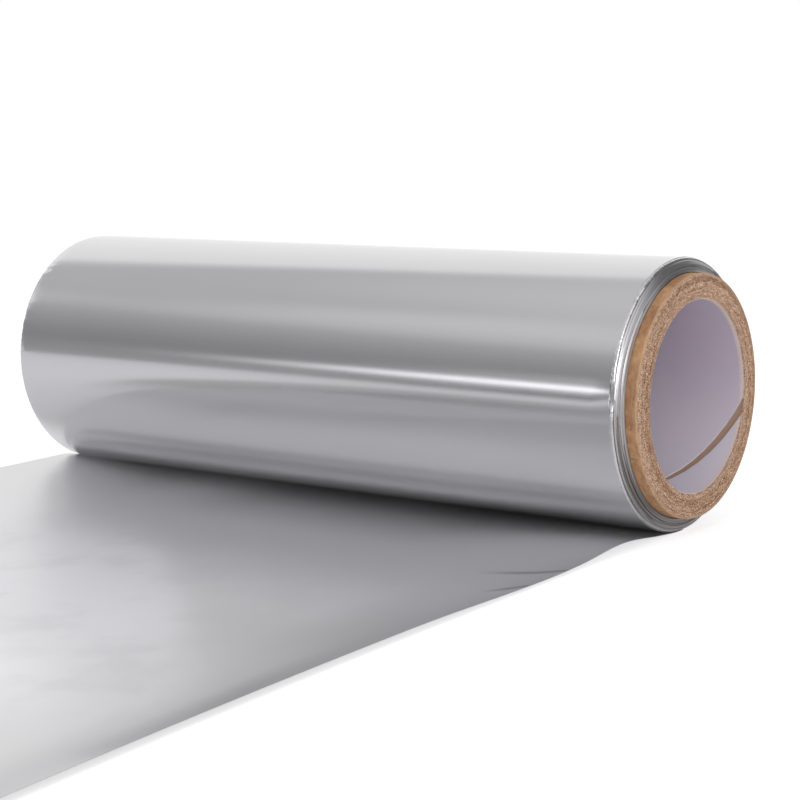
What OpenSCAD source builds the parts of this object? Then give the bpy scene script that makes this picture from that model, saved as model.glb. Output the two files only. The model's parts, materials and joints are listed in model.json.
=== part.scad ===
// A catering roll of aluminium foil, wound on a board tube, lying down with its loose end pulled out in front.
// The tube's axis is X, and the origin is on that axis, midway along the foil. +Z is up and the loose end
// runs towards -Y, along the surface that the roll lies on. Millimetres.

/* [Foil] */
// Width of the foil, which is the roll's length without the tube
foil_w = 320; // [200:5:450]
// Depth of foil wound on the tube
wound_t = 5.95; // [3:0.05:30]
// Thickness of the loose foil, heavier than real foil so that it makes a solid
sheet_t = 0.3; // [0.2:0.05:0.5]
// Length of foil pulled off the roll, measured along the surface from under the axis
loose_len = 380; // [250:10:600]

/* [Ends of the wound foil] */
// Bands of turns that show as rings in the ends
turn_bands = 9; // [4:1:14]
// How far the innermost turns have slipped towards the near end
slip = 1.8; // [0:0.1:4]
// Unevenness of the bands at the ends
band_uneven = 0.22; // [0:0.02:0.4]
// Width of the two gaps that are open between bands at the near end
gap_w = 0.18; // [0.1:0.02:0.3]
// Depth of those gaps
gap_depth = 3; // [1:0.5:6]
// How far the rounded edge of the outermost turns reaches along the roll
rim_reach = 1; // [0.2:0.1:2]

/* [Lie of the loose foil] */
// How far the roll's own weight flattens its underside
flat_depth = 0.15; // [0:0.05:0.5]
// Height of the low wave that the near edge makes beside the roll
wave_h = 3.5; // [0:0.25:8]
// Distance of that wave's crest from under the axis
wave_at = 45; // [30:1:70]
// Half breadth of the wave
wave_half = 25; // [15:1:40]
// Height at which the foil leaves the roll at its far edge
far_lift = 5.2; // [0:0.2:10]
// Distance from under the axis at which the far edge has come down to the surface
far_down = 230; // [150:5:240]
// Distance in from the near edge at which the wave has died out
near_reach = 90; // [60:5:150]
// Distance in from the far edge at which its lift has died out
far_reach = 70; // [50:5:150]
// How far the loose end has drifted towards the near end
drift = 4.4; // [0:0.2:6]
// Distance from under the axis at which the drift begins
drift_from = 150; // [100:5:220]

/* [Board tube] */
// Bore of the tube, inside its lining
bore_d = 76; // [60:0.5:100]
// Wall of brown board outside the lining
board_t = 9.45; // [4:0.05:12]
// Length of tube that stands out of the foil at the near end
near_out = 7; // [4:0.5:20]
// Length of tube that stands out of the foil at the far end
far_out = 3; // [0:0.5:20]
// Plies of board in the wall
plies = 9; // [5:1:12]
// Unevenness of the sawn plies
ply_uneven = 0.15; // [0:0.01:0.3]
// Size of the worn outer edge at each end of the tube
edge_wear = 0.35; // [0.1:0.05:0.6]

/* [Paper lining] */
// Thickness of the white paper strip that lines the tube
liner_t = 0.5; // [0.3:0.05:1]
// Distance along the tube that the strip advances in one turn
strip_pitch = 121; // [80:1:160]
// Opening left between neighbouring edges of the strip
seam_w = 3.8; // [1:0.1:6]
// Angle of the opening at the near end, from the front, downwards
seam_at = 168; // [0:1:359]

/* [Fits] */
// Room between the lining and the board
glue_gap = 0.05; // [0.02:0.01:0.1]
// Room between the board and the first turn of foil
winding_gap = 0.05; // [0.02:0.01:0.1]

/* [Hidden] */

bore_r = bore_d / 2;
liner_r = bore_r + liner_t;
board_in_r = liner_r + glue_gap;
board_r = board_in_r + board_t;
wound_in_r = board_r + winding_gap;
foil_r = wound_in_r + wound_t;
floor_z = flat_depth - foil_r;

near_end = foil_w / 2 + near_out;
far_end = -foil_w / 2 - far_out;
tube_len = near_end - far_end;

// Parts of the radii at which the two open gaps lie, from the tube outwards
gap_places = [0.34, 0.67];
// Angle between samples of an unevenness that never repeats itself
scatter_step = 137.5;
// Grid of the loose foil
sheet_columns = 24;
sheet_rows = 30;
// Flats in the rounded edge of the outermost turns
rim_flats = 4;
// Greatest turn of the lining's seam in one step of its cut
seam_step = 7.5;
// Spare reach of a cut past the solid that it opens
past = 1;

$fn = 120;

function smooth(t) = let (c = min(max(t, 0), 1)) c * c * (3 - 2 * c);
function mix(a, b, t) = a + (b - a) * t;
function scatter(i) = sin(i * scatter_step + 40);

// Half of a ring's outline, radius first, with each band's end at its own place.
// ends[i] is the place of band i, and cuts[i] is the depth of the gap outside it, or 0.
function end_steps(r_in, r_out, ends, cuts, side) =
    let (n = len(ends), t = (r_out - r_in) / n)
    [
        for (i = [0:n - 1])
            let (inner = r_in + i * t, cut = cuts[i])
            each cut > 0
                ? [
                    [inner, ends[i]],
                    [inner + t - gap_w, ends[i]],
                    [inner + t - gap_w, ends[i] - side * cut],
                    [inner + t, ends[i] - side * cut]
                ]
                : [[inner, ends[i]], [inner + t, ends[i]]]
    ];

function backwards(list) = [for (i = [len(list) - 1:-1:0]) list[i]];

// Rounds the outermost corner of an outline from end_steps, over the thickness of its last band.
function rounded_rim(steps, side) =
    let (n = len(steps), low = steps[n - 2], corner = steps[n - 1])
    concat(
        [for (i = [0:n - 2]) steps[i]],
        [
            for (i = [1:rim_flats])
                let (a = 90 * i / rim_flats)
                [mix(low[0], corner[0], sin(a)), corner[1] - side * rim_reach * (1 - cos(a))]
        ]
    );

// Turns an outline drawn as radius and length into a solid round the X axis.
module around_x(outline) {
    rotate([0, 90, 0])
        rotate_extrude()
            polygon(outline);
}

// The outermost band carries the loose foil, so it is the one that has not slipped.
function band_slip(i) =
    let (last = turn_bands - 1)
    i == last ? 0 : slip * (1 - i / last) + band_uneven * scatter(i);

function gap_after(i) =
    len([for (p = gap_places) if (i == floor(p * turn_bands)) 1]) > 0 ? gap_depth : 0;

module wound_foil() {
    bands = [0:turn_bands - 1];
    near_steps = end_steps(
        wound_in_r, foil_r,
        [for (i = bands) foil_w / 2 + band_slip(i)],
        [for (i = bands) gap_after(i)],
        1
    );
    far_steps = end_steps(
        wound_in_r, foil_r,
        [for (i = bands) -foil_w / 2 + band_slip(i)],
        [for (i = bands) 0],
        -1
    );
    difference() {
        around_x(concat(rounded_rim(near_steps, 1), backwards(rounded_rim(far_steps, -1))));
        translate([far_end - past, -foil_r, floor_z - foil_r])
            cube([tube_len + 2 * past, 2 * foil_r, foil_r]);
    }
}

// Height of the loose foil's underside over the surface, d in front of the axis.
function near_edge_height(d) =
    wave_h * exp(-pow((d - wave_at) / wave_half, 2)) * smooth(d / 15);
function far_edge_height(d) =
    far_lift * smooth(d / 30) * (1 - smooth((d - 80) / (far_down - 80)));
function sheet_height(x, d) =
    near_edge_height(d) * (1 - smooth((foil_w / 2 - x) / near_reach))
    + far_edge_height(d) * (1 - smooth((foil_w / 2 + x) / far_reach));

// How far the loose foil has moved along the roll, d in front of the axis.
function sheet_drift(d) = drift * pow(max(d - drift_from, 0) / (loose_len - drift_from), 2);

// Rows are closer together beside the roll, where the foil bends most.
function row_distance(v) = loose_len * pow(v, 1.6);

module loose_foil() {
    across = sheet_columns + 1;
    count = across * (sheet_rows + 1);
    points = [
        for (side = [0, 1])
            for (j = [0:sheet_rows])
                for (i = [0:sheet_columns])
                    let (
                        x = foil_w * (i / sheet_columns - 0.5),
                        d = row_distance(j / sheet_rows)
                    )
                    [x + sheet_drift(d), -d, floor_z + sheet_height(x, d) + side * sheet_t]
    ];
    function at(side, j, i) = side * count + j * across + i;
    top_and_bottom = [
        for (j = [0:sheet_rows - 1])
            for (i = [0:sheet_columns - 1])
                each [
                    [at(1, j, i), at(1, j, i + 1), at(1, j + 1, i + 1)],
                    [at(1, j, i), at(1, j + 1, i + 1), at(1, j + 1, i)],
                    [at(0, j, i), at(0, j + 1, i + 1), at(0, j, i + 1)],
                    [at(0, j, i), at(0, j + 1, i), at(0, j + 1, i + 1)]
                ]
    ];
    side_edges = [
        for (j = [0:sheet_rows - 1])
            each [
                [at(0, j, 0), at(1, j, 0), at(1, j + 1, 0), at(0, j + 1, 0)],
                [
                    at(0, j, sheet_columns), at(0, j + 1, sheet_columns),
                    at(1, j + 1, sheet_columns), at(1, j, sheet_columns)
                ]
            ]
    ];
    cut_edges = [
        for (i = [0:sheet_columns - 1])
            each [
                [at(0, 0, i), at(0, 0, i + 1), at(1, 0, i + 1), at(1, 0, i)],
                [
                    at(0, sheet_rows, i), at(1, sheet_rows, i),
                    at(1, sheet_rows, i + 1), at(0, sheet_rows, i + 1)
                ]
            ]
    ];
    polyhedron(points, concat(top_and_bottom, side_edges, cut_edges));
}

module foil() {
    color([0.78, 0.78, 0.8]) {
        wound_foil();
        loose_foil();
    }
}

// Wears the outermost corner off an outline from end_steps.
function worn_corner(steps, side) =
    let (n = len(steps), corner = steps[n - 1])
    concat(
        [for (i = [0:n - 2]) steps[i]],
        [
            [corner[0] - edge_wear, corner[1]],
            [corner[0], corner[1] - side * edge_wear]
        ]
    );

function ply_steps(end, side, first) =
    end_steps(
        board_in_r, board_r,
        [for (i = [0:plies - 1]) end - side * ply_uneven * abs(scatter(i + first))],
        [for (i = [0:plies - 1]) 0],
        side
    );

module core_tube() {
    near_steps = worn_corner(ply_steps(near_end, 1, 0), 1);
    far_steps = worn_corner(ply_steps(far_end, -1, plies), -1);
    color([0.75, 0.56, 0.38])
        around_x(concat(near_steps, backwards(far_steps)));
}

// The lining is a strip wound round at a slant. Its edges do not meet, and the board shows between them.
module seam_opening() {
    turn = 360 * tube_len / strip_pitch;
    reach = 360 * past / strip_pitch;
    slant = atan(strip_pitch / (2 * PI * bore_r));
    half = seam_w / sin(slant) / bore_r * 180 / PI / 2;
    inner = bore_r - past;
    outer = liner_r + past;
    translate([far_end - past, 0, 0])
        rotate([0, 90, 0])
            rotate([0, 0, 270 + seam_at - turn - reach])
                linear_extrude(
                    height = tube_len + 2 * past,
                    twist = -turn - 2 * reach,
                    segments = 4,
                    slices = ceil((turn + 2 * reach) / seam_step)
                )
                    polygon([
                        inner * [cos(half), -sin(half)],
                        outer * [cos(half), -sin(half)],
                        outer * [cos(half), sin(half)],
                        inner * [cos(half), sin(half)]
                    ]);
}

module core_liner() {
    color([0.86, 0.84, 0.88])
        difference() {
            around_x([
                [bore_r, far_end],
                [liner_r, far_end],
                [liner_r, near_end],
                [bore_r, near_end]
            ]);
            seam_opening();
        }
}

foil();
core_tube();
core_liner();
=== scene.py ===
# %% [markdown]
# # A catering roll of aluminium foil
#
# The roll lies on its side with its loose end pulled out in front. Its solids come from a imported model
# that holds the true sizes, and this script dresses them: it models each piece finely, gives it a
# finish and lights it. Everything is in metres. X runs along the tube, Z is up, and the loose end goes
# towards -Y.

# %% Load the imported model
import json
import math
import random

import bpy
from mathutils import Matrix, Vector, noise


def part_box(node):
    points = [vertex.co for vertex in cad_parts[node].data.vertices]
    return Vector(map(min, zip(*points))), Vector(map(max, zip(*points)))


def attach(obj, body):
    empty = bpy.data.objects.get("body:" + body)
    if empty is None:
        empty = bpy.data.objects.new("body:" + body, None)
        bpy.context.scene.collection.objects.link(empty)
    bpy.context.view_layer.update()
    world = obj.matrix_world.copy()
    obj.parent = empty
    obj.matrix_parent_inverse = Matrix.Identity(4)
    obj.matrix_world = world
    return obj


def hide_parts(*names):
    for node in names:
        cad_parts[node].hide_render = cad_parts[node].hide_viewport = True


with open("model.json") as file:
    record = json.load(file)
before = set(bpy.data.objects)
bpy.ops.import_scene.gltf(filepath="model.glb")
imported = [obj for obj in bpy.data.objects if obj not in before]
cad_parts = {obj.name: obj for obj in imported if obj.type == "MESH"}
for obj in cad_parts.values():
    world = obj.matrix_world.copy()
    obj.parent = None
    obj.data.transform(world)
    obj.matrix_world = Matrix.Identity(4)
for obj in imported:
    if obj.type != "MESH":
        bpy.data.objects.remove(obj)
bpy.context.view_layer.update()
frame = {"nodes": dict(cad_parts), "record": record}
print("solids:", sorted(frame["nodes"]))

# %% [markdown]
# ## Measures
#
# A roll like this is known by a few sizes: the bore, the tube, the foil's width and depth, and the
# pull. They could be typed in again, but they are read from the solids, so that a change of size there
# moves the fine pieces with it. Two sizes aren't in the solids' boxes. SLIP is how far the innermost
# turns stand out past the outermost at the near end, and HAIR is the room between pieces that lie in
# each other.

# %% Read the measures
MM = 0.001
HAIR = 0.05 * MM
SLIP = 1.94 * MM
foil_low, foil_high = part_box("foil")
lining_low, lining_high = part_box("core_liner")
FLOOR = foil_low.z
FOIL_RADIUS = foil_high.z
HALF_WIDTH = -foil_low.x
LOOSE_LENGTH = -foil_low.y
TUBE_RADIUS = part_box("core_tube")[1].z
NEAR_END, FAR_END = lining_high.x, lining_low.x
LINING_RADIUS = lining_high.z
BORE_RADIUS = next(m["dims"]["r_mm"] for m in frame["record"]["mounts"] if m["name"] == "core_bore") * MM
print(f"foil {2 * HALF_WIDTH:.3f} m wide, {2 * FOIL_RADIUS:.3f} m across, {LOOSE_LENGTH:.3f} m pulled")

# %% [markdown]
# ## The camera
#
# The camera stands low in front of the near end and looks along the roll from the right. It could be
# placed by eye, but a long straight roll shows any error of its perspective. So its place, heading and
# focal length come from fitting the outlines of the bore, the tube and the foil, and it leans by a
# degree as the real one did.

# %% Place the camera
CAMERA_PLACE = Vector((0.5300, -0.6721, 0.1204))
CAMERA_HEADING = math.radians(37.14)
CAMERA_DIP = math.radians(8.965)
CAMERA_LEAN = math.radians(-1.308)
CAMERA_LENS = 88.48
SENSOR_WIDTH = 36

camera_data = bpy.data.cameras.new("camera")
camera_data.lens = CAMERA_LENS
camera_data.sensor_width = SENSOR_WIDTH
camera_data.clip_start = 0.05
camera = bpy.data.objects.new("camera", camera_data)
turn = (
    Matrix.Rotation(CAMERA_HEADING, 4, "Z")
    @ Matrix.Rotation(math.radians(90) - CAMERA_DIP, 4, "X")
    @ Matrix.Rotation(CAMERA_LEAN, 4, "Z")
)
camera.matrix_world = Matrix.Translation(CAMERA_PLACE) @ turn
bpy.context.scene.collection.objects.link(camera)
bpy.context.scene.camera = camera
print("camera at", tuple(round(c, 3) for c in CAMERA_PLACE))

# %% [markdown]
# ## Shader tools
#
# Every finish here is worked out by nodes. They could be placed one by one, but then a formula of a
# dozen steps can't be read. `Value` wraps a socket that gives a number, and its operators add Math
# nodes, so that a pattern reads like a formula. `Graph.add` makes any other node: its settings are set
# first, and then its sockets take numbers, colours or other sockets.

# %% Write the shader tools
class Value:
    """A number that varies over a surface, held as the socket that gives it."""

    def __init__(self, graph, socket):
        self.graph, self.socket = graph, socket

    def _maths(self, operation, *values):
        node = self.graph.add("ShaderNodeMath", {"operation": operation}, dict(enumerate(values)))
        return Value(self.graph, node.outputs[0])

    def __add__(self, other):
        return self._maths("ADD", self, other)

    def __sub__(self, other):
        return self._maths("SUBTRACT", self, other)

    def __rsub__(self, other):
        return self._maths("SUBTRACT", other, self)

    def __mul__(self, other):
        return self._maths("MULTIPLY", self, other)

    def __truediv__(self, other):
        return self._maths("DIVIDE", self, other)

    def __pow__(self, other):
        return self._maths("POWER", self, other)

    __radd__ = __add__
    __rmul__ = __mul__

    def most(self, other):
        return self._maths("MAXIMUM", self, other)

    def towards(self, other, share):
        """This number where share is 0, the other where it is 1, and a mix between them."""
        return self * (1 - share) + other * share

    def rise(self, low, high):
        """0 below low, 1 above high, and a smooth climb between them."""
        settings = {"interpolation_type": "SMOOTHSTEP"}
        node = self.graph.add("ShaderNodeMapRange", settings, {0: self, 1: low, 2: high})
        return Value(self.graph, node.outputs[0])

    def band(self, low, high, soft):
        """1 between low and high, and 0 outside them."""
        return self.rise(low - soft, low + soft) * (1 - self.rise(high - soft, high + soft))


class Graph:
    """The node tree of a material or of the world, emptied and ready for new nodes."""

    def __init__(self, owner):
        owner.use_nodes = True
        self.tree = owner.node_tree
        self.tree.nodes.clear()

    def add(self, kind, settings=None, inputs=None):
        node = self.tree.nodes.new(kind)
        for name, value in (settings or {}).items():
            if name == "stops":
                set_stops(node.color_ramp, value)
            else:
                setattr(node, name, value)
        for name, value in (inputs or {}).items():
            if isinstance(value, Value):
                value = value.socket
            if isinstance(value, bpy.types.NodeSocket):
                self.tree.links.new(value, node.inputs[name])
            else:
                node.inputs[name].default_value = value
        return node

    def value(self, kind, settings=None, inputs=None):
        return Value(self, self.add(kind, settings, inputs).outputs[0])

    def rays(self, *names):
        """What the renderer says of the ray that meets this surface, one value for each name."""
        node = self.add("ShaderNodeLightPath")
        return [Value(self, node.outputs[name]) for name in names]

    def axes(self, vector):
        node = self.add("ShaderNodeSeparateXYZ", None, {0: vector})
        return [Value(self, s) for s in node.outputs]

    def ramp(self, stops, place):
        return self.value("ShaderNodeValToRGB", {"stops": stops}, {0: place})

    def blend(self, colour_a, colour_b, amount):
        node = self.add("ShaderNodeMix", {"data_type": "RGBA"}, {0: amount, 6: colour_a, 7: colour_b})
        return node.outputs[2]

    def noise(self, vector, scale, detail=2.0, roughness=0.5, distortion=0.0):
        inputs = {"Vector": vector, "Scale": scale, "Detail": detail, "Roughness": roughness}
        return self.value("ShaderNodeTexNoise", None, inputs | {"Distortion": distortion})

    def stretched(self, vector, scale):
        """The place on the piece, with each axis scaled by its own number."""
        return self.add("ShaderNodeMapping", None, {"Vector": vector, "Scale": scale}).outputs[0]


def set_stops(ramp, stops):
    """Gives a ramp its stops: pairs of a place and a grey, or a place and a colour."""
    while len(ramp.elements) > 1:
        ramp.elements.remove(ramp.elements[-1])
    for i, (place, colour) in enumerate(stops):
        stop = ramp.elements[0] if i == 0 else ramp.elements.new(place)
        stop.position = place
        stop.color = (colour, colour, colour, 1) if isinstance(colour, (int, float)) else (*colour, 1)


print("shader tools ready")

# %% [markdown]
# ## The studio's walls
#
# Foil has no colour of its own. What is seen on it is the room, so the room is painted with care, as a
# photographer builds a set of pale walls round such a product. It could be built of lit planes, but the
# world behind everything takes a formula of the direction alone, and softens any edge. A bright wall
# slopes over the roll from behind, a greyer one stands in front, both sides end in bright walls, and
# the corner behind the near end is dark. Heights are the direction's rise, from 0 at the horizon to 1
# overhead.

# %% Divide the room into walls
# Pairs of a height and a grey.
FRONT_WALL = [(0.0, 0.31), (0.07, 0.28), (0.2, 0.24), (0.3, 0.27), (0.4, 0.32), (0.52, 0.40), (0.6, 0.48),
              (0.67, 0.53), (0.75, 0.53), (0.82, 0.56), (1.0, 0.6)]
BACK_WALL = [(0.0, 1.0), (0.08, 0.97), (0.15, 0.92), (0.3, 0.88), (0.5, 0.85), (0.7, 0.78), (1.0, 0.7)]
EDGE_X, EDGE_Y, EDGE_Z = -0.443, 0.641, -0.63
CORNER_DARKNESS = 0.88
SIDE_LIGHT = 0.9

world = bpy.data.worlds.new("studio")
bpy.context.scene.world = world
room = Graph(world)
x, y, z = room.axes(room.add("ShaderNodeTexCoord").outputs["Generated"])
level = (1 - z * z).most(0.0001) ** 0.5
rightward, backward = x / level, y / level
in_front = 1 - backward.rise(-0.3, 0)
front_wall, back_wall = room.ramp(FRONT_WALL, z), room.ramp(BACK_WALL, z)
back_share = (y * EDGE_Y + x * EDGE_X + z * EDGE_Z).rise(-0.05, 0.06)
corner_share = rightward.rise(0.05, 0.35) * backward.rise(0.45, 0.7)
left_share = (0 - rightward).rise(0.86, 0.95) * (1 - z.rise(0.45, 0.65))
right_share = rightward.rise(0.5, 0.7) * (1 - backward.rise(0.3, 0.6)) * (1 - z.rise(0.75, 0.9))
print("walls:", len(FRONT_WALL), "greys in front and", len(BACK_WALL), "behind")

# %% [markdown]
# ## The studio's light
#
# Three details of the front wall draw the finer lines on the roll. A low and narrow window makes the
# thin bright line along its near half, with a faint halo round it and a darker foot of the wall below.
# A belt higher up is brighter at its left end. What reaches the eye by way of both the roll and the
# loose foil is dimmer, as on the real roll. Only reflections see these walls: the camera sees white,
# and a soft pale light comes from all round.

# %% Light the room
WINDOW_LOW, WINDOW_HIGH, WINDOW_LIGHT = 0.087, 0.144, 1.05
HALO_LOW, HALO_HIGH, HALO_LIGHT = 0.04, 0.25, 0.17
FOOT_DARKNESS = 0.4
BELT_LOW, BELT_HIGH, BELT_CONTRAST = 0.5, 0.8, 0.22
SECOND_WINDOW, SECOND_WALL = 0.8, 0.38
COOL_WHITE, WHITE, BLACK = (0.985, 0.975, 1.0, 1), (1, 1, 1, 1), (0, 0, 0, 1)

seen, spread, reflections = room.rays("Is Camera Ray", "Is Diffuse Ray", "Glossy Depth")
twice = reflections.band(1.5, 2.5, 0.1)
window = z.band(WINDOW_LOW, WINDOW_HIGH, 0.012) * rightward.rise(-0.70, -0.56) * in_front
window = window * (1 - twice * SECOND_WINDOW)
halo = z.band(HALO_LOW, HALO_HIGH, 0.03) * rightward.rise(-0.64, -0.50) * in_front
foot = (1 - z.rise(0.03, 0.06)) * rightward.rise(-0.66, -0.52) * in_front
belt = z.band(BELT_LOW, BELT_HIGH, 0.08)
belt_light = (rightward.rise(-0.93, -0.80) * belt - 0.5) * belt * BELT_CONTRAST
dimmed = twice * (1 - z.rise(0.3, 0.45)) * SECOND_WALL
lit_wall = front_wall * (1 + belt_light) * (1 - dimmed) * (1 - foot * FOOT_DARKNESS) + halo * HALO_LIGHT
reflected = lit_wall.towards(back_wall, back_share) * (1 - corner_share * CORNER_DARKNESS)
reflected = reflected.towards(SIDE_LIGHT, left_share).towards(SIDE_LIGHT, right_share)
reflected = (reflected + window * WINDOW_LIGHT).towards(0.95 - z.rise(0, 1) * 0.4, spread)
tint = room.blend(COOL_WHITE, WHITE, back_share.most(seen))
strength = reflected.towards(1, seen)
background = room.add("ShaderNodeBackground", None, {"Color": tint, "Strength": strength})
room.add("ShaderNodeOutputWorld", None, {"Surface": background.outputs[0]})
bpy.context.scene.view_settings.view_transform = "Standard"
print("nodes in the world:", len(room.tree.nodes))

# %% [markdown]
# ## The floor
#
# The roll lies on a plain pale surface. It is a real plane, so that it takes the roll's shadow, with a
# little light of its own for the camera, so that it ends in the same white as the room. Photographers
# lay dark and bright cards beside foil to shape what it mirrors. Here they are patches of the floor
# that only reflections see: a bright one past the far end, a dark one past the near end and a faint
# sloping one far out in front.

# %% Lay the floor
FLOOR_SIZE = 6.0
FLOOR_PALE = (0.70, 0.70, 0.71, 1)
FRONT_SLOPE, FRONT_FROM = 0.32, -0.165
RIGHT_DARKNESS, FRONT_DARKNESS = 0.78, 0.42

bpy.ops.mesh.primitive_plane_add(size=FLOOR_SIZE, location=(0, 0, FLOOR))
floor = bpy.context.object
floor.name = "floor"
floor_paint = bpy.data.materials.new("floor_paint")
paper = Graph(floor_paint)
seen, mirrored, spread = paper.rays("Is Camera Ray", "Is Glossy Ray", "Is Diffuse Ray")
x, y, z = paper.axes(paper.add("ShaderNodeTexCoord").outputs["Object"])
left_light = (0 - x).rise(0.157, 0.17) * y.rise(-0.055, -0.03) * 0.3 + (0 - x).rise(0.17, 0.26) * 0.05
right_shade = x.rise(0.160, 0.18) * y.rise(-0.055, -0.025) * RIGHT_DARKNESS
past_slope = (x - y * FRONT_SLOPE - FRONT_FROM).rise(-0.012, 0.012)
front_shade = past_slope * (0 - y).band(0.15, 0.6, 0.05) * FRONT_DARKNESS
pale = paper.blend(FLOOR_PALE, BLACK, right_shade.most(front_shade) * mirrored)
matt = paper.add("ShaderNodeBsdfDiffuse", None, {"Color": pale})
glow_level = seen * 0.6 + mirrored * (0.02 + left_light) + spread * 0.3
glow = paper.add("ShaderNodeEmission", None, {"Color": WHITE, "Strength": glow_level})
both = paper.add("ShaderNodeAddShader", None, {0: matt.outputs[0], 1: glow.outputs[0]})
paper.add("ShaderNodeOutputMaterial", None, {"Surface": both.outputs[0]})
floor.data.materials.append(floor_paint)
print("floor at", round(FLOOR, 5))

# %% [markdown]
# ## Lamps
#
# The room gives nearly all the light, and lamps add what a painted room can't. A small one at the right
# sets sparkles on the crinkled rim at the near end. A large one above draws the soft shadow, and is
# kept out of the foil's reflections, because the room already holds what the foil should show.

# %% Hang the lamps
def soft_lamp(name, place, aim, size, watts, mirrored):
    data = bpy.data.lights.new(name, "AREA")
    data.shape, data.size, data.energy = "DISK", size, watts
    lamp = bpy.data.objects.new(name, data)
    lamp.location = place
    lamp.rotation_euler = (Vector(aim) - Vector(place)).to_track_quat("-Z", "Y").to_euler()
    lamp.visible_glossy = mirrored
    bpy.context.scene.collection.objects.link(lamp)


soft_lamp("end_lamp", (1.1, -0.55, 0.28), (HALF_WIDTH, 0, 0), 0.45, 3, True)
soft_lamp("top_lamp", (-0.1, -0.3, 1.4), (0, -0.1, 0), 1.2, 3, False)

# %% [markdown]
# ## Modelling tools
#
# Wound and cut pieces are turned shapes. They could start from a cylinder, but their ends have dozens
# of small steps. So their outline is drawn as a chain of points at place x and radius r, by extruding a
# single vertex again and again, and Spin then turns the chain round the tube's axis. Later steps ask a
# point for its angle round the roll: 0 at the front, 90 on top, 180 behind.

# %% Write the modelling tools
SPIN_STEPS = 400


def spun(name, outline):
    """Turns a closed outline of (x, radius) points round the X axis and returns the new piece."""
    bpy.ops.object.select_all(action="DESELECT")
    x, r = outline[0]
    bpy.ops.mesh.primitive_plane_add(size=HAIR, location=(x, 0, r))
    piece = bpy.context.object
    piece.name = piece.data.name = name
    bpy.ops.object.transform_apply(location=True)
    bpy.ops.object.mode_set(mode="EDIT")
    bpy.ops.mesh.select_all(action="SELECT")
    bpy.ops.mesh.merge(type="CENTER")
    for (x0, r0), (x1, r1) in zip(outline, outline[1:] + outline[:1]):
        bpy.ops.mesh.extrude_region_move(TRANSFORM_OT_translate={"value": (x1 - x0, 0, r1 - r0)})
    bpy.ops.mesh.select_all(action="SELECT")
    bpy.ops.mesh.remove_doubles(threshold=1e-7)
    bpy.ops.mesh.spin(steps=SPIN_STEPS, angle=math.tau, center=(0, 0, 0), axis=(1, 0, 0))
    bpy.ops.mesh.select_all(action="SELECT")
    bpy.ops.mesh.remove_doubles(threshold=1e-6)
    bpy.ops.mesh.normals_make_consistent(inside=False)
    bpy.ops.object.mode_set(mode="OBJECT")
    print(f"{name}: {len(piece.data.polygons)} faces")
    return piece


def angle_round(p):
    """Degrees round the roll from the front, upwards."""
    return math.degrees(math.atan2(p.z, -p.y)) % 360


def apart(a, b):
    """How far two angles are from each other, in degrees."""
    return abs((a - b + 180) % 360 - 180)


def smooth(t):
    """0 for t below 0, 1 above 1, and a smooth climb between them."""
    t = min(max(t, 0), 1)
    return t * t * (3 - 2 * t)


def bell(distance, half):
    return math.exp(-((distance / half) ** 2))


def between(a, b, count):
    """count places from a towards b, without b itself."""
    return [a + (b - a) * i / count for i in range(count)]


def finish_smooth(piece, angle=35):
    bpy.ops.object.select_all(action="DESELECT")
    piece.select_set(True)
    bpy.context.view_layer.objects.active = piece
    bpy.ops.object.shade_smooth_by_angle(angle=math.radians(angle))


# %% [markdown]
# ## The wound foil
#
# Hundreds of turns lie on each other, and most of them show only at the ends. There, groups of turns
# have slipped towards the near end, the inner ones furthest, and a few gaps stand open between them as
# thin dark rings. The last group has a softly rounded rim, and the outermost turn, the skin, ends a
# little short of it. Each turn could be a sheet of its own, but that is a great weight for what one
# solid shows as well. So the outline walks over each group with its own end, gap and corner. A group is
# given by where it ends, as a share of the foil's depth, and by the gap under that place in
# millimetres.

# %% Draw the ends of the turns
CORNER = 0.04 * MM
RIM, RIM_STEPS = 1.0 * MM, 6
SKIN, SKIN_BACK, SKIN_POCKET = 0.08 * MM, 1.4 * MM, 4 * MM
SKIN_STEPS, LIP_STEPS = 76, 4
UNEVEN = 0.15 * MM
GAP_DEPTHS = (1.2 * MM, 2.4 * MM)
WOUND_INSIDE = TUBE_RADIUS + HAIR
TURNS_TOP = FOIL_RADIUS - SKIN - HAIR
NEAR_GROUPS = [(0.04, 0.16), (0.22, 0.08), (0.4, 0.2), (0.52, 0.1), (0.76, 0.07), (1.0, 0.0)]
FAR_GROUPS = [(0.12, 0.1), (0.3, 0.2), (0.46, 0.06), (0.6, 0.22), (0.77, 0.1), (0.9, 0.08), (1.0, 0.0)]
chance = random.Random(11)


def group_ends(groups, side):
    """Points over the end on side 1 or -1, from the tube outwards, and the radii of each gap's walls."""
    points, gaps, low, low_share = [], [], WOUND_INSIDE, 0
    for share, gap in groups:
        high = WOUND_INSIDE + (TURNS_TOP - WOUND_INSIDE) * share
        top = high - gap * MM
        end = side * HALF_WIDTH + chance.uniform(-UNEVEN, UNEVEN)
        end_low, end_top = end + SLIP * (1 - low_share), end + SLIP * (1 - share)
        points += [(end_low - side * CORNER, low), (end_low, low + CORNER)]
        if share < 1:
            hollow = end_top - side * chance.uniform(*GAP_DEPTHS)
            points += [(end_top, top - CORNER), (end_top - side * CORNER, top)]
            points += [(hollow, top), (hollow, high)]
            gaps.append((top, high))
        low, low_share = high, share
    for step in range(RIM_STEPS + 1):
        a = math.radians(90) * step / RIM_STEPS
        points.append((end_top - side * RIM * (1 - math.cos(a)), TURNS_TOP - RIM * (1 - math.sin(a))))
    return points, gaps


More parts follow.
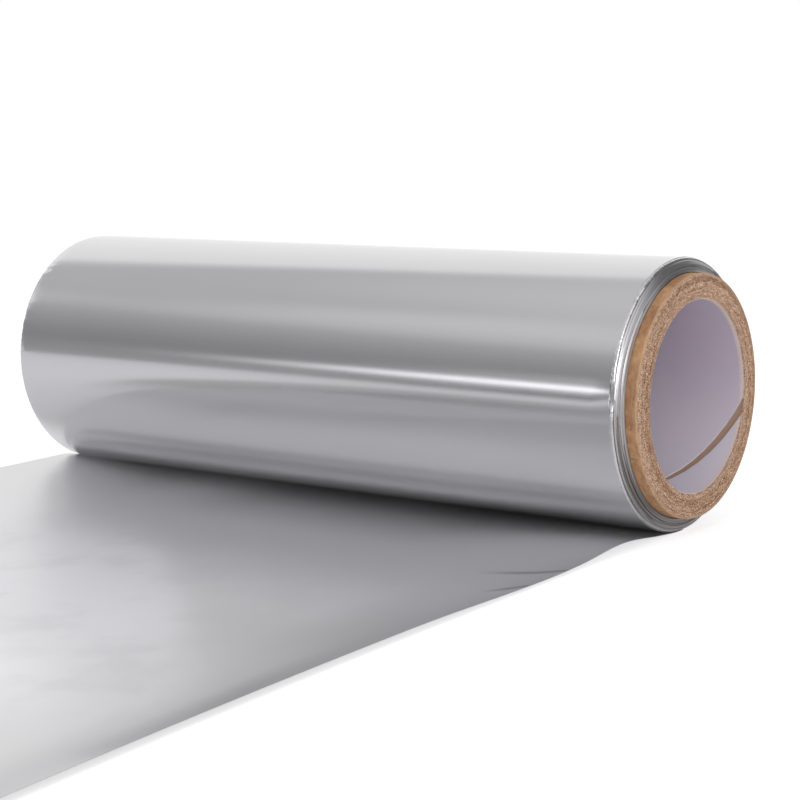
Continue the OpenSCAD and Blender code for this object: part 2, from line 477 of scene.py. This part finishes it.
near_points, near_gaps = group_ends(NEAR_GROUPS, 1)
far_points, far_gaps = group_ends(FAR_GROUPS, -1)
skin_end = HALF_WIDTH - SKIN_BACK
pocket = skin_end - SKIN_POCKET
skin_lip = [(pocket, TURNS_TOP), (pocket, TURNS_TOP + HAIR)]
skin_lip += [(x, TURNS_TOP + HAIR) for x in between(pocket, skin_end, LIP_STEPS)[1:]]
skin_lip += [(skin_end, TURNS_TOP + HAIR), (skin_end, FOIL_RADIUS)]
skin = [(x, FOIL_RADIUS) for x in between(skin_end, far_points[-1][0], SKIN_STEPS)[1:]]
wound_foil = spun("wound_foil", near_points + skin_lip + skin + far_points[::-1])

# %% [markdown]
# Foil is never wound quite true. The edges of the turns wander, the rim is crinkled from handling, most
# of all at the upper front, and the skin stands off the turns at the front, which opens a dark slit
# over a dent. The weight of the roll flattens its underside. This could be sculpted, but a smooth noise
# of each vertex's place or angle leaves no seam, and gives the same roll every time.

# %% Loosen the turns
LOOSE_AT, LOOSE_HALF, LOOSE_LIFT = 8, 6, 0.3 * MM
DENT, DENT_LENGTH = 0.8 * MM, 2 * MM
RIPPLE, SKIN_WAVE = 0.02 * MM, 0.45 * MM
WANDER, END_WAVE = 0.3 * MM, 0.1 * MM
CRINKLED_AT, CRINKLED_HALF = 35, 40
CRINKLE_OUT, CRINKLE_ALONG = 0.13 * MM, 0.26 * MM
END_DEPTH, END_SOFT = 6 * MM, 3 * MM


def round_noise(angle, pitch, seed):
    """A smooth noise round the roll that joins up with itself, about 1 / pitch waves to the radian."""
    a = math.radians(angle)
    return noise.noise(Vector((math.cos(a) / pitch, math.sin(a) / pitch, seed)))


def wander(p, scale, seed):
    return noise.noise(p * scale + Vector((seed, seed, seed)))


def loosen_skin(p, r, angle):
    """Moves a point of the outermost turn along the tube, and returns its new radius."""
    near = smooth((p.x - pocket) / SKIN_POCKET)
    lift = LOOSE_LIFT * bell(apart(angle, LOOSE_AT), LOOSE_HALF) * near
    ripple = RIPPLE * wander(p, 28, 3)
    p.x += near * SKIN_WAVE * round_noise(angle, 0.25, 4)
    return r + lift + ripple


def loosen_turns(p, r, angle):
    """Moves a point of the other turns along the tube, and returns its new radius."""
    near = p.x > 0
    at_end = smooth((abs(p.x) - HALF_WIDTH + END_DEPTH) / END_SOFT)
    share = (r - WOUND_INSIDE) / (TURNS_TOP - WOUND_INSIDE)
    grown = r
    for top, high in near_gaps if near else far_gaps:
        if abs(r - top) < 1e-7:
            grown = high - (high - top) * (0.75 + 0.9 * round_noise(angle, 0.5, 100 * high / MM))
    grown += at_end * WANDER * 4 * share * (1 - share) * round_noise(angle, 0.9, 21 if near else 19)
    p.x += at_end * END_WAVE * round_noise(angle, 0.8, 500 * r / MM)
    if near and r > TURNS_TOP - RIM:
        dent = bell(apart(angle, LOOSE_AT), LOOSE_HALF) * smooth((p.x - pocket) / DENT_LENGTH)
        grown -= DENT * dent * smooth((r - TURNS_TOP + RIM) / RIM)
    crinkled = 0.25 + bell(apart(angle, CRINKLED_AT), CRINKLED_HALF)
    crinkled *= at_end * smooth((share - 0.8) * 6)
    grown += crinkled * CRINKLE_OUT * round_noise(angle, 0.045, 8)
    p.x += crinkled * CRINKLE_ALONG * round_noise(angle, 0.05, 9)
    return grown


for vertex in wound_foil.data.vertices:
    p = vertex.co
    r = math.hypot(p.y, p.z)
    loosen = loosen_skin if r > FOIL_RADIUS - SKIN - HAIR / 2 else loosen_turns
    grown = loosen(p, r, angle_round(p))
    p.y *= grown / r
    p.z = max(p.z * grown / r, FLOOR)
finish_smooth(wound_foil, 50)
ends = [v.co.x for v in wound_foil.data.vertices]
print(f"wound foil spans x {min(ends):.4f} to {max(ends):.4f}")

# %% [markdown]
# ## The loose foil
#
# The loose end is a thin sheet that leaves the roll under its axis. Beside the roll its near edge rises
# in a low wave, its far edge stays up against the roll before it comes down, its near edge curls, a
# broad fold and two short creases cross it, and it drifts sideways as it goes out. A cloth simulation
# could let it fall, but foil keeps the shape that it is pushed into and hardly stretches. So a grid is
# laid flat at the foil's true size, each point is lifted by a height worked out from its place, and
# Solidify gives it a thickness.

# %% Work out the sheet's height
WAVE_HEIGHT, WAVE_AT, WAVE_HALF = 3.5 * MM, 45 * MM, 25 * MM
FAR_LIFT, FAR_UP, FAR_DOWN = 5.2 * MM, 80 * MM, 230 * MM
NEAR_REACH, FAR_REACH = 90 * MM, 70 * MM
BROAD = 0.3 * MM
CURL, CURL_WIDTH = 1.0 * MM, 14 * MM
BEND, BEND_WIDTH, BEND_FROM, BEND_OVER = 1.1 * MM, 50 * MM, 100 * MM, 80 * MM
FOLD, FOLD_AT, FOLD_HALF, FOLD_FROM, FOLD_OVER = 1.5 * MM, 30 * MM, 55 * MM, 60 * MM, 120 * MM
CREASE, CREASE_HALF = 0.2 * MM, 1.6 * MM
CREASES = [((133, -101), (157, -87)), ((150, -122), (158, -112))]


def roll_height(d):
    """Height of the roll's underside over the floor, d in front of the axis."""
    if d >= FOIL_RADIUS:
        return FOIL_RADIUS
    return max(-math.sqrt(FOIL_RADIUS ** 2 - d * d) - FLOOR, 0)


def near_height(d):
    return WAVE_HEIGHT * bell(d - WAVE_AT, WAVE_HALF) * smooth(d / (15 * MM))


def far_height(d):
    return FAR_LIFT * smooth(d / (30 * MM)) * (1 - smooth((d - FAR_UP) / (FAR_DOWN - FAR_UP)))


def crease_height(x, d, ends):
    """The low ridge of a crease between two points of the sheet, given in millimetres."""
    a, b = (Vector(end) * MM for end in ends)
    here = Vector((x, -d))
    along = min(max((here - a).dot(b - a) / (b - a).length_squared, 0), 1)
    return CREASE * bell((here - a.lerp(b, along)).length, CREASE_HALF)


def soft_waves(x, d):
    """Waves too faint for the solid: broad ones, the near edge's curl and bend, the fold, the creases."""
    flat = smooth((d - 30 * MM) / (60 * MM))
    broad = BROAD * (0.5 + 0.5 * noise.noise(Vector((x * 9, d * 7, 1.5))))
    curl = CURL * max(1 + (x - HALF_WIDTH) / CURL_WIDTH, 0) ** 2
    bend = BEND * max(1 + (x - HALF_WIDTH) / BEND_WIDTH, 0) ** 2 * smooth((d - BEND_FROM) / BEND_OVER)
    fold = FOLD * bell(x - FOLD_AT, FOLD_HALF) * smooth((d - FOLD_FROM) / FOLD_OVER)
    creases = sum(crease_height(x, d, ends) for ends in CREASES)
    return flat * (broad + curl + creases) + bend + fold


def loose_height(x, d):
    """Height of the sheet at x, d in front of the axis. It never enters the roll."""
    near_share = smooth((x - HALF_WIDTH + NEAR_REACH) / NEAR_REACH)
    far_share = max(1 - (x + HALF_WIDTH) / FAR_REACH, 0) ** 2
    height = far_height(d) * far_share + near_height(d) * near_share
    return min(height + soft_waves(x, d), roll_height(d)) + HAIR


print(f"near edge up to {max(loose_height(HALF_WIDTH, d * MM) for d in range(100)) / MM:.1f} mm")

# %% Shape the loose foil
FOIL_THICKNESS = 0.06 * MM
COLUMNS, ROWS, ROW_CROWDING = 150, 230, 1.5
DRIFT, DRIFT_FROM = 7.0 * MM, 150 * MM


def flat_grid(name, columns, rows, middle):
    """A grid one metre wide and long, its middle at the given place, with its origin at the world's."""
    bpy.ops.object.select_all(action="DESELECT")
    bpy.ops.mesh.primitive_grid_add(x_subdivisions=columns, y_subdivisions=rows, size=1, location=middle)
    piece = bpy.context.object
    piece.name = piece.data.name = name
    bpy.ops.object.transform_apply(location=True)
    return piece


def thicken(piece, thickness):
    solidify = piece.modifiers.new("thicken", "SOLIDIFY")
    solidify.thickness = thickness
    solidify.offset = 1
    bpy.ops.object.modifier_apply(modifier="thicken")
    finish_smooth(piece)
    print(f"{piece.name}: {len(piece.data.polygons)} faces")


loose_foil = flat_grid("loose_foil", COLUMNS, ROWS, (0, -0.5, 0))
for vertex in loose_foil.data.vertices:
    p = vertex.co
    d = LOOSE_LENGTH * (-p.y) ** ROW_CROWDING
    p.x *= 2 * HALF_WIDTH
    p.y = -d
    p.z = FLOOR + loose_height(p.x, d)
    p.x += DRIFT * (max(d - DRIFT_FROM, 0) / (LOOSE_LENGTH - DRIFT_FROM)) ** 2
thicken(loose_foil, FOIL_THICKNESS)

# %% [markdown]
# ## The board tube
#
# The tube is brown board, wound from plies of kraft paper and sawn to length. The saw leaves a fibrous
# face on which each ply stands a little higher or lower, and a soft worn edge outside. A bump alone
# could draw the plies, but the face is seen at a slant, where real relief shows. So it is drawn with
# many rings, and each vertex sinks by the depth of its ply and by a fine noise for the torn fibres.

# %% Turn the board tube
PLIES, PLY_STEP = 14, 0.2 * MM
FACE_RINGS, EDGE_STEPS, OUTSIDE_STEPS = 44, 5, 24
EDGE_WEAR = 0.7 * MM
LIP, LIP_DEPTH = 0.25 * MM, 0.5 * MM
TORN_FINE, TORN_COARSE, FRAY = 0.12 * MM, 0.07 * MM, 0.16 * MM
BOARD_INSIDE = LINING_RADIUS + HAIR
LIP_RADIUS = BORE_RADIUS + LIP


def sawn_face(side, end):
    """One sawn end's outline, from the bore outwards: a lip over the lining, the face, a worn edge."""
    points = [(end - side * LIP_DEPTH, BOARD_INSIDE), (end - side * LIP_DEPTH, LIP_RADIUS)]
    outer = TUBE_RADIUS - EDGE_WEAR
    points += [(end, LIP_RADIUS + (outer - LIP_RADIUS) * i / (FACE_RINGS - 1)) for i in range(FACE_RINGS)]
    for step in range(1, EDGE_STEPS + 1):
        a = math.radians(90) * step / EDGE_STEPS
        points.append((end - side * EDGE_WEAR * (1 - math.cos(a)), outer + EDGE_WEAR * math.sin(a)))
    return points


near_face = sawn_face(1, NEAR_END)
far_face = sawn_face(-1, FAR_END)
outside = [(x, TUBE_RADIUS) for x in between(near_face[-1][0], far_face[-1][0], OUTSIDE_STEPS)[1:]]
board_tube = spun("board_tube", near_face + outside + far_face[::-1])

ply_depth = [PLY_STEP * chance.random() for _ in range(PLIES + 1)]
for vertex in board_tube.data.vertices:
    p = vertex.co
    r = math.hypot(p.y, p.z)
    side, end = (1, NEAR_END) if p.x > 0 else (-1, FAR_END)
    if abs(p.x - end) > EDGE_WEAR + HAIR:
        continue
    share = (r - LIP_RADIUS) / (TUBE_RADIUS - LIP_RADIUS)
    ply = min(max(share + 0.02 * round_noise(angle_round(p), 0.4, 31), 0), 1) * PLIES
    face = 1 - smooth((share - 0.93) / 0.07)
    torn = TORN_FINE * (0.5 + 0.5 * wander(p, 1900, 5)) + TORN_COARSE * (0.5 + 0.5 * wander(p, 600, 9))
    p.x -= side * face * (ply_depth[int(ply)] + torn)
    frayed = bell(share, 0.03) * FRAY * wander(p, 1400, 2)
    p.y *= 1 - frayed / r
    p.z *= 1 - frayed / r
finish_smooth(board_tube, 60)
print(f"plies sunk by up to {max(ply_depth) / MM:.2f} mm")

# %% [markdown]
# ## The paper lining
#
# A strip of smooth white paper lines the bore. It is wound at a slant, and its edges leave a narrow
# opening that runs round the bore as a helix, in which the brown board shows. The opening could be cut
# from a tube, but a slanting cut leaves ragged faces. So a flat grid is rolled up with one pair of its
# sides along the two edges of the opening, and Solidify gives the paper its thickness.

# %% Roll up the lining
STRIP_PITCH = 121 * MM
SEAM_WIDTH = 3.2 * MM
SEAM_AT_NEAR_END = -12.0
SLANT = math.atan(STRIP_PITCH / (math.tau * BORE_RADIUS))
SEAM_ANGLE = math.degrees(SEAM_WIDTH / math.sin(SLANT) / BORE_RADIUS)
SEAM_WAVER = 0.04
LINING_COLUMNS, LINING_ROWS = 300, 110
LINING_BACK = 0.6 * MM

paper_lining = flat_grid("paper_lining", LINING_COLUMNS, LINING_ROWS, (0.5, 0.5, 0))
for vertex in paper_lining.data.vertices:
    p = vertex.co
    x = FAR_END + LINING_BACK + (NEAR_END - FAR_END - 2 * LINING_BACK) * p.y
    seam = SEAM_AT_NEAR_END - 360 * (NEAR_END - x) / STRIP_PITCH
    edge = 0.5 + SEAM_WAVER * noise.noise(Vector((x * 400, round(p.x), 0)))
    angle = math.radians(seam + SEAM_ANGLE * edge + (360 - 2 * SEAM_ANGLE * edge) * p.x)
    p.x = x
    p.y = BORE_RADIUS * math.cos(angle)
    p.z = BORE_RADIUS * math.sin(angle)
thicken(paper_lining, LINING_RADIUS - BORE_RADIUS)
radii = [math.hypot(v.co.y, v.co.z) for v in paper_lining.data.vertices]
print(f"lining radii {min(radii) / MM:.2f} to {max(radii) / MM:.2f} mm")

# %% [markdown]
# ## Tools for finishes
#
# Each finish starts from a Principled shader and the place on the piece, and then its patterns are
# linked to the shader's colour, roughness, normal and glow. Rings round the axis come back in several
# finishes, so they have a helper too: a pattern read at such a place is fine from ring to ring and
# drawn out along each of them.

# %% Write the finish tools
def surface(name, inputs=None):
    """A new material, its graph, the place on the piece and the shader that will hold the finish."""
    material = bpy.data.materials.new(name)
    graph = Graph(material)
    place = graph.add("ShaderNodeTexCoord").outputs["Object"]
    shader = graph.add("ShaderNodeBsdfPrincipled", None, inputs)
    graph.add("ShaderNodeOutputMaterial", None, {"Surface": shader.outputs[0]})
    return material, graph, place, shader


SOCKETS = {"colour": "Base Color", "roughness": "Roughness", "normal": "Normal", "glow": "Emission Color"}


def connect(graph, shader, **links):
    for name, value in links.items():
        socket = value.socket if isinstance(value, Value) else value
        graph.tree.links.new(socket, shader.inputs[SOCKETS[name]])


def give(piece, material):
    """Adds a finish to a piece, after those that it has."""
    piece.data.materials.append(material)
    print(f"{piece.name}: {material.name}, {len(material.node_tree.nodes)} nodes")


def bump(graph, height, distance):
    return graph.add("ShaderNodeBump", None, {"Height": height, "Distance": distance}).outputs[0]


def ringed(graph, radius, y, z, across, along):
    """A place for patterns in rings, with its scales across the rings and along them."""
    parts = {0: radius * across, 1: y * along, 2: z * along}
    return graph.add("ShaderNodeCombineXYZ", None, parts).outputs[0]


# %% [markdown]
# ## The foil's shiny side
#
# Rolled aluminium is bright and slightly soft in its reflections. The mill's rollers leave fine lines
# along the pull. They could be an anisotropic gloss, but a faint bump of a stretched noise draws a
# reflection out across them just as well. Under the roll, light runs to and fro between roll and sheet
# dozens of times, and the renderer follows four of those. The grey that the rest would add is given
# back as a glow that only rays which have spent their four can see. It grows over the first 30 mm in
# front of the axis, and is less deep at the far end.

# %% Make the foil's shiny side
METAL = {"Metallic": 1.0, "Emission Strength": 1.0}
DARK_METAL, LIGHT_METAL = (0.84, 0.84, 0.85, 1), (0.88, 0.88, 0.89, 1)
LINE_PITCH = 0.4 * MM
SHINY_ROUGHNESS, SHINY_LINES = 0.13, 0.01 * MM
BOUNCES = 4
WEDGE, WEDGE_TURN = 30 * MM, 100 * MM
DEEP_NEAR = [(0.0, 0.002), (0.3, 0.008), (0.5, 0.035), (0.7, 0.11), (0.85, 0.20), (1.0, 0.24)]
DEEP_FAR = [(0.0, 0.03), (0.3, 0.04), (0.5, 0.09), (0.7, 0.14), (0.85, 0.20), (1.0, 0.23)]


def foil_grain(graph, place):
    """What both sides share: the lines along the pull, faint clouds, and the metal's colour."""
    lines = graph.noise(graph.stretched(place, (1 / LINE_PITCH, 8, 8)), 1.0, 3)
    clouds = graph.noise(place, 14, 3)
    return lines, clouds, graph.blend(DARK_METAL, LIGHT_METAL, clouds)


def deep_light(graph, place, turn_from, near=1.0, far=1.0):
    """The wedge's grey past the last bounce: the far end's up to turn_from, the near end's 100 mm on."""
    spent = graph.rays("Glossy Depth")[0].rise(BOUNCES - 0.6, BOUNCES - 0.4)
    x, y, z = graph.axes(place)
    near_grey, far_grey = (graph.ramp(stops, y * (-1 / WEDGE)) for stops in (DEEP_NEAR, DEEP_FAR))
    grey = (far_grey * far).towards(near_grey * near, x.rise(turn_from, turn_from + WEDGE_TURN))
    return graph.blend(BLACK, WHITE, grey * spent)


shiny_side, graph, place, shader = surface("foil_shiny_side", METAL)
lines, clouds, colour = foil_grain(graph, place)
rough = SHINY_ROUGHNESS * (1 + (lines - 0.5) * 0.3 + (clouds - 0.5) * 0.3)
relief = bump(graph, lines, SHINY_LINES)
deep = deep_light(graph, place, 10 * MM)
connect(graph, shader, colour=colour, roughness=rough, normal=relief, glow=deep)
give(wound_foil, shiny_side)

# %% [markdown]
# ## The foil's matt side
#
# Foil is rolled in pairs, and the sides that lay together stay matt. The loose end shows that side,
# which gives only broad soft reflections. A soft-edged cloud over its far half is rougher still, and its
# colour there is painted paler as a painted bright reflection. Painted shade darkens a band along its
# near edge far out, the sheet under the roll and both creases, and a painted reflection darkens it
# towards the near side, where dark parts of the real room show in it. The painted shade under the roll
# is for the eye alone, so that the roll still mirrors a bright sheet. All this could be painted on, but a
# share worked out from the place needs no picture. The roughness stays above 0.28 everywhere: where a
# finish crosses that, the renderer clears its noise in two ways, and the border shows as a dotted line.

# %% Work out the marks on the matt side
CREASE_SHADE_HALF = 2.6 * MM
CLOUD_FROM, CLOUD_SOFT, CLOUD_WAVER = 126 * MM, 16 * MM, 60 * MM


def rough_and_painted_light_cloud(graph, place, x, out):
    """1 where the foil is rougher and painted paler as a painted reflection, with less outside the
    cloud's wavy edge.
    """
    wavy = (graph.noise(place, 16, 3) - 0.5) * CLOUD_WAVER
    cloud = (wavy + out - x - CLOUD_FROM).rise(-CLOUD_SOFT, CLOUD_SOFT)
    outside = 0.5 * (1 - x.rise(115 * MM, 150 * MM)) * (1 - out.rise(170 * MM, 220 * MM) * 0.6)
    held = out.rise(80 * MM, 155 * MM) * (1 - out.rise(290 * MM, 330 * MM))
    return outside.towards(1, cloud) * held


def crease_shade(x, y, ends):
    """1 along a crease of the sheet, where its sides turn away from the light."""
    (x0, y0), (x1, y1) = ends
    long = math.hypot(x1 - x0, y1 - y0)
    ux, uy = (x1 - x0) / long, (y1 - y0) / long
    along = (x - x0 * MM) * ux + (y - y0 * MM) * uy
    across = (y - y0 * MM) * ux - (x - x0 * MM) * uy
    near = 1 - (across * across).rise(0, CREASE_SHADE_HALF ** 2)
    return near * along.rise(-4 * MM, 0.6 * long * MM) * (1 - along.rise(long * MM, (long + 6) * MM))


print("creases:", len(CREASES))

# %% Make the foil's matt side
MATT_ROUGHNESS, MATT_LINES, DULLING = 0.29, 0.001 * MM, 0.16
CLOUD_PAINTED_LIGHT, SPOTTED = (0.96, 0.96, 0.985, 1), (0.78, 0.78, 0.80, 1)
# Greys of painted shade: under the roll and towards the near side, and along the near edge and the
# creases.
SHADED, EDGE_AND_CREASE_PAINTED_SHADE = (0.45, 0.45, 0.46, 1), (0.40, 0.40, 0.415, 1)

matt_side, graph, place, shader = surface("foil_matt_side", METAL)
lines, clouds, colour = foil_grain(graph, place)
seen = graph.rays("Is Camera Ray")[0]
x, y, z = graph.axes(place)
out = 0 - y
cloud = rough_and_painted_light_cloud(graph, place, x, out)
spots = graph.noise(place, 45, 3).rise(0.45, 0.7) * cloud * 0.3
# Painted shade under the roll, which only camera rays see.
under_roll = seen * x.band(-45 * MM, 88 * MM, 28 * MM) * (1 - out.rise(30 * MM, 90 * MM)) * 0.7
# Painted reflection: darker towards the near side, where dark parts of the room would show.
near_side = x.rise(60 * MM, 150 * MM) * out.rise(130 * MM, 210 * MM) * 0.22
# Painted shade: a darker band along the far part of the near edge.
painted_edge_shade = x.rise(132 * MM, 162 * MM) * out.rise(190 * MM, 300 * MM) * 0.45
# Painted shade along both creases.
creased = crease_shade(x, y, CREASES[0]).most(crease_shade(x, y, CREASES[1])) * 0.75
# Painted reflection: the cloud's colour is painted paler than the foil's. The spots in it are random
# tone.
colour = graph.blend(graph.blend(colour, CLOUD_PAINTED_LIGHT, cloud), SPOTTED, spots)
colour = graph.blend(colour, SHADED, under_roll.most(near_side))
colour = graph.blend(colour, EDGE_AND_CREASE_PAINTED_SHADE, painted_edge_shade.most(creased))
dulling = cloud * (1 - out.rise(230 * MM, 280 * MM) * 0.8) * DULLING
rough = MATT_ROUGHNESS * (0.97 + clouds * 0.06) + dulling
relief = bump(graph, lines, MATT_LINES)
deep = deep_light(graph, place, -90 * MM, 0.45, 0.55)
connect(graph, shader, colour=colour, roughness=rough, normal=relief, glow=deep)
give(loose_foil, matt_side)

# %% [markdown]
# ## The cut edges
#
# The ends of the turns are cut edges of foil, packed side by side. They are duller than the skin, each
# shows as a hair line round the roll, and the rim sparkles where it is crinkled. The rim's colour is also
# painted brighter than the foil's, as a painted highlight. Hundreds of edges could be modelled, but a
# noise of the distance from the axis draws them at no cost. Two thin slits between turns and the turns
# beside the tube get painted shade: darker rings over a part of the round, which waver as the turns do.

# %% Make the cut edges' finish
EDGE_DARK, EDGE_LIGHT, RIM_PAINTED_HIGHLIGHT = (0.50, 0.505, 0.51, 1), (0.68, 0.68, 0.685, 1), (0.96, 0.96, 0.97, 1)
SLIT_AND_TUBE_PAINTED_SHADE = (0.06, 0.06, 0.07, 1)
SLITS = [(50.0 * MM, 50.25 * MM), (51.5 * MM, 51.7 * MM)]
SLIT_SOFT, SLIT_WAVER = 0.06 * MM, 0.8 * MM

cut_edges, graph, place, shader = surface("cut_foil_edges", {"Metallic": 1.0})
x, y, z = graph.axes(place)
radius = (y * y + z * z) ** 0.5
hair_lines = graph.noise(ringed(graph, radius, y, z, 5000, 5), 1.0, 2, 0.6)
rim_share = radius.rise(TURNS_TOP - 0.9 * MM, TURNS_TOP - 0.35 * MM)
wavering = radius + (graph.noise(place, 30, 2) - 0.5) * SLIT_WAVER
inner_slit, outer_slit = (wavering.band(low, high, SLIT_SOFT) for low, high in SLITS)
below = 0 - z
# Painted shade in the two slits between turns.
slits = inner_slit.most(outer_slit) * below.rise(12 * MM, 24 * MM) * (1 - below.rise(44 * MM, 50 * MM))
# Painted shade beside the tube.
beside_tube = 1 - wavering.rise(TUBE_RADIUS + 0.2 * MM, TUBE_RADIUS + 0.6 * MM)
beside_tube = beside_tube * z.rise(20 * MM, 32 * MM)
colour = graph.blend(EDGE_DARK, EDGE_LIGHT, hair_lines.rise(0.3, 0.65))
# Painted highlight: the rim's colour is raised above the foil's own.
colour = graph.blend(colour, RIM_PAINTED_HIGHLIGHT, rim_share)
colour = graph.blend(colour, SLIT_AND_TUBE_PAINTED_SHADE, slits.most(beside_tube) * 0.85)
rough = 0.3 + hair_lines * 0.1 - rim_share * 0.12
relief = bump(graph, hair_lines * 0.03 + graph.noise(place, 800, 2) * rim_share * 1.5, 0.16 * MM)
connect(graph, shader, colour=colour, roughness=rough, normal=relief)
give(wound_foil, cut_edges)
for face in wound_foil.data.polygons:
    c = face.center
    if math.hypot(c.y, c.z) < TURNS_TOP + HAIR / 2 and abs(c.x) > HALF_WIDTH - 5 * MM:
        face.material_index = 1

# %% [markdown]
# ## The board's outside
#
# Kraft board is warm brown. Its outside is smooth paper with faint fibres along the ply, dark flecks,
# and a paler edge where the tube was sawn. A flat brown would do from afar, but 7 mm of it stand
# out beside the bright foil. Three noises of different sizes make it look like paper. In the slanting
# opening of the lining, the board's inside shows a paler ply.

# %% Make the board's outside
KRAFT_DARK, KRAFT_LIGHT = (0.27, 0.12, 0.055, 1), (0.55, 0.315, 0.155, 1)
KRAFT_PALE_EDGE, KRAFT_FLECK = (0.63, 0.42, 0.26, 1), (0.16, 0.08, 0.05, 1)
KRAFT_INSIDE = (0.44, 0.30, 0.215, 1)
MIDDLE, HALF_LENGTH = (NEAR_END + FAR_END) / 2, (NEAR_END - FAR_END) / 2

kraft, graph, place, shader = surface("kraft_outside")
x, y, z = graph.axes(place)
from_middle = ((x - MIDDLE) ** 2) ** 0.5
pale_edge = from_middle.rise(HALF_LENGTH - 2 * EDGE_WEAR, HALF_LENGTH - 0.2 * EDGE_WEAR)
fibres = graph.noise(graph.stretched(place, (700, 260, 260)), 1.0, 4, 0.6)
patches = graph.noise(place, 110, 4, 0.6)
flecks = graph.noise(place, 700, 2).rise(0.63, 0.72)
inside = 1 - ((y * y + z * z) ** 0.5).rise(BOARD_INSIDE + 0.3 * MM, BOARD_INSIDE + 0.6 * MM)
colour = graph.blend(KRAFT_DARK, KRAFT_LIGHT, (fibres * 0.45 + patches * 0.55).rise(0.3, 0.7))
# Paler along the sawn edge.
colour = graph.blend(colour, KRAFT_PALE_EDGE, pale_edge * (0.3 + fibres * 0.6))
colour = graph.blend(colour, KRAFT_FLECK, flecks * 0.6)
colour = graph.blend(colour, KRAFT_INSIDE, inside * 0.9)
relief = bump(graph, fibres, 0.05 * MM)
connect(graph, shader, colour=colour, roughness=0.55 + fibres * 0.2, normal=relief)
give(board_tube, kraft)

# %% [markdown]
# ## The sawn board
#
# The sawn face is speckled with light and dark fibre ends, between the thin glue lines of the plies.
# Its colours could be one noise, but a saw draws fibres out along the rings. So fine specks, a noise
# drawn out along the rings and broader glue rings are added up, and one ramp of browns turns the sum
# into colour.

# %% Make the sawn board
FIBRES = [(0.15, (0.11, 0.04, 0.018)), (0.33, (0.30, 0.145, 0.072)), (0.5, (0.50, 0.28, 0.165)),
          (0.67, (0.63, 0.38, 0.235)), (0.85, (0.90, 0.70, 0.53))]
SAWN_PALE_EDGE, SAWN_FRAYED = (0.60, 0.395, 0.245, 1), (0.66, 0.55, 0.50, 1)

sawn, graph, place, shader = surface("sawn_board")
x, y, z = graph.axes(place)
radius = (y * y + z * z) ** 0.5
speckle = graph.noise(place, 2600, 3, 0.8).rise(0.4, 0.6)
drawn = graph.noise(ringed(graph, radius, y, z, 1500, 300), 1.0, 4, distortion=0.8)
glue = graph.noise(ringed(graph, radius, y, z, 900, 14), 1.0, 2).rise(0.3, 0.7)
pale_edge = radius.rise(TUBE_RADIUS - 1.6 * MM, TUBE_RADIUS - 0.5 * MM)
frayed = 1 - radius.rise(LIP_RADIUS, LIP_RADIUS + 0.4 * MM)
tone = speckle * 0.6 + drawn.rise(0.3, 0.7) * 0.22 + glue * 0.18
colour = graph.add("ShaderNodeValToRGB", {"stops": FIBRES}, {0: tone}).outputs[0]
# Paler near the outer edge of the sawn face.
colour = graph.blend(colour, SAWN_PALE_EDGE, pale_edge * (0.2 + drawn * 0.7))
colour = graph.blend(colour, SAWN_FRAYED, frayed * speckle * 0.8)
relief = bump(graph, speckle * 0.4 + drawn * 0.6, 0.3 * MM)
connect(graph, shader, colour=colour, roughness=0.85 + speckle * 0.1, normal=relief)
give(board_tube, sawn)
for face in board_tube.data.polygons:
    c = face.center
    at_end = abs(c.x - MIDDLE) > HALF_LENGTH - 2 * EDGE_WEAR
    if at_end and math.hypot(c.y, c.z) < TUBE_RADIUS - 0.1 * MM:
        face.material_index = 1

# %% [markdown]
# ## The lining's paper
#
# The lining is white paper with a cool tint, smooth and matt, with a faint cloudiness. A single white
# would look like plastic, so clouds and a fine grain vary it. Its lower half is painted paler, as
# painted light from the room, and the cut edge at the near end shows the warmer inside of the paper.

# %% Make the lining's paper
PAPER_DARK, PAPER_LIGHT = (0.49, 0.425, 0.505, 1), (0.59, 0.52, 0.60, 1)
PAPER_PAINTED_LIGHT, PAPER_CUT = (0.80, 0.76, 0.82, 1), (0.80, 0.65, 0.58, 1)
LINING_END = NEAR_END - LINING_BACK

white_paper, graph, place, shader = surface("lining_paper")
x, y, z = graph.axes(place)
clouds = graph.noise(place, 55, 4)
grain = graph.noise(place, 1500, 3)
cut = x.rise(LINING_END - 2 * MM, LINING_END - 0.6 * MM) * (0.5 + grain.rise(0.3, 0.6) * 0.5)
colour = graph.blend(PAPER_DARK, PAPER_LIGHT, clouds * 0.7 + grain * 0.3)
# Painted light: the lower half of the lining is painted paler.
colour = graph.blend(colour, PAPER_PAINTED_LIGHT, (0 - z).rise(-20 * MM, 36 * MM) * 0.8)
colour = graph.blend(colour, PAPER_CUT, cut)
connect(graph, shader, colour=colour, roughness=0.55 + grain * 0.2, normal=bump(graph, grain, 0.02 * MM))
give(paper_lining, white_paper)

# %% [markdown]
# ## Joining the pieces
#
# Each fine piece stands for its solid, which is hidden, and is joined to the root body. The wound turns
# and the loose end both stand for the one strip of foil.

# %% Join the pieces to the frame
for piece, node, slot in [
    (wound_foil, "foil", "foil"),
    (loose_foil, "foil", "foil"),
    (board_tube, "core_tube", "board"),
    (paper_lining, "core_liner", "lining"),
]:
    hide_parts(node)
    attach(piece, "root")
print("pieces joined")
